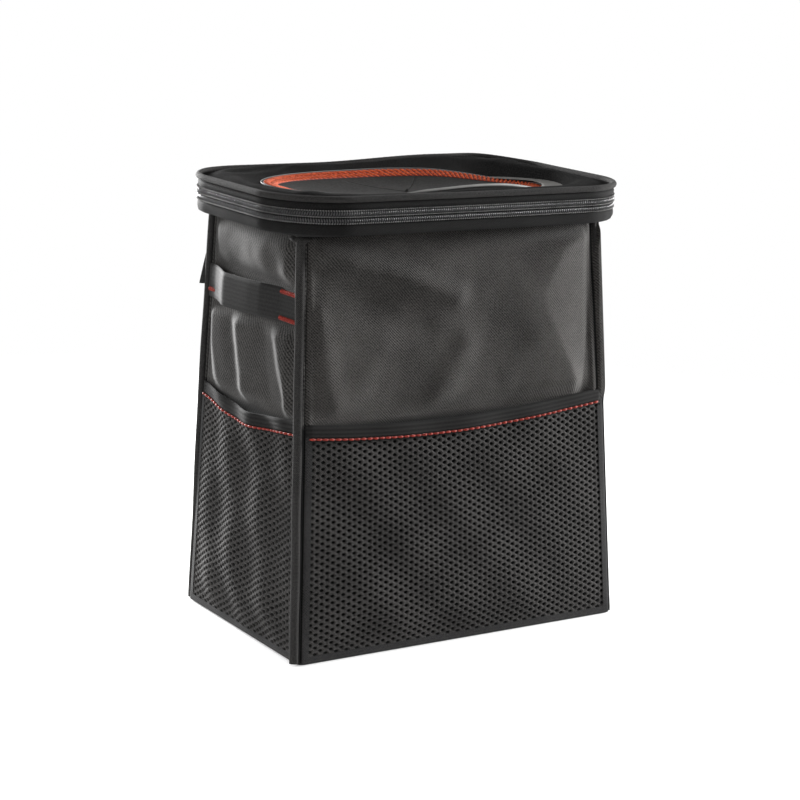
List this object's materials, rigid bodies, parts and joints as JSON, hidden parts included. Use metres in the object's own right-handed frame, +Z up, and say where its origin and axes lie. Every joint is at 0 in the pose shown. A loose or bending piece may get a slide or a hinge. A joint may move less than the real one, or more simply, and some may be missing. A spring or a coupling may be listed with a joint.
{
  "type": "car trash bin",
  "caption": "Soft-sided car bin with a zipped lid, slit rubber opening, net pockets on front and sides, side loops and a rear hanging strap with a buckle.",
  "frame": {"origin": "centre of the base, on the floor it stands on", "axes": "+Z up from the floor to the lid; +X to the bin's right seen from the front; +Y from the front pocket to the back wall with the hanging strap"},
  "size_m": [0.2562, 0.1596, 0.28],
  "materials": {
    "oxford_cloth": "woven polyester, charcoal",
    "board_plastic": "sheet plastic inside the walls",
    "liner_film": "grey waterproof film",
    "piping_cloth": "black corded piping",
    "net": "dark grey polyester net",
    "elastic_binding": "ribbed elastic tape, black",
    "red_thread": "red polyester thread",
    "webbing": "black webbing",
    "zipper_tape": "black woven tape",
    "zipper_teeth": "dark nylon teeth",
    "zipper_metal": "dark lacquered metal",
    "buckle_plastic": "black moulded plastic",
    "foam": "grey foam inside the lid",
    "rubber_sheet": "smooth dark grey rubber"
  },
  "bodies": {
    "bin": {"base_panel": "oxford_cloth", "base_board": "board_plastic", "front_board": "board_plastic", "back_board": "board_plastic", "left_board": "board_plastic", "right_board": "board_plastic", "front_panel": "oxford_cloth", "back_panel": "oxford_cloth", "left_panel": "oxford_cloth", "right_panel": "oxford_cloth", "liner": "liner_film", "corner_piping_fl": "piping_cloth", "corner_piping_fr": "piping_cloth", "corner_piping_bl": "piping_cloth", "corner_piping_br": "piping_cloth", "front_mesh": "net", "front_binding": "elastic_binding", "front_pocket_stitch": "red_thread", "left_mesh": "net", "left_binding": "elastic_binding", "left_pocket_stitch": "red_thread", "right_mesh": "net", "right_binding": "elastic_binding", "right_pocket_stitch": "red_thread", "left_loop": "webbing", "right_loop": "webbing", "left_loop_tacks": "red_thread", "right_loop_tacks": "red_thread", "rim_band": "oxford_cloth", "lower_zipper_tape": "zipper_tape", "lower_zipper_teeth": "zipper_teeth", "zipper_stops": "zipper_teeth", "back_strap_left": "webbing", "back_strap_right": "webbing", "back_strap_tacks": "red_thread", "buckle_female": "buckle_plastic", "lid_hinge_strip": "oxford_cloth"},
    "lid": {"lid_band": "oxford_cloth", "lid_piping": "piping_cloth", "lid_top": "oxford_cloth", "lid_foam": "foam", "lid_lining": "liner_film", "aperture_sheet": "rubber_sheet", "aperture_stitching": "red_thread", "upper_zipper_tape": "zipper_tape", "upper_zipper_teeth": "zipper_teeth"},
    "slider": {"zipper_slider": "zipper_metal"},
    "pull": {"zipper_pull": "zipper_metal"},
    "buckle": {"buckle_male": "buckle_plastic", "buckle_prongs": "buckle_plastic"}
  },
  "joints": [
    {"name": "lid_hinge", "type": "hinge", "parent": "bin", "child": "lid", "pos_m": [0, 0.0801, 0.263], "axis": [-1, 0, 0], "range_deg": [0, 180], "deforming": ["lid_hinge_strip"]},
    {"name": "slider_run", "type": "slide", "parent": "bin", "child": "slider", "axis": [0, -1, 0], "range_m": [0, 0.052], "deforming": ["lower_zipper_teeth", "upper_zipper_teeth"]},
    {"name": "pull_swing", "type": "hinge", "parent": "slider", "child": "pull", "pos_m": [0.12895, 0.032, 0.263], "axis": [0, 0, 1], "range_deg": [0, 170]},
    {"name": "buckle_release", "type": "slide", "parent": "bin", "child": "buckle", "axis": [1, 0, 0], "range_m": [0, 0.025], "deforming": ["back_strap_right", "buckle_prongs"]}
  ]
}
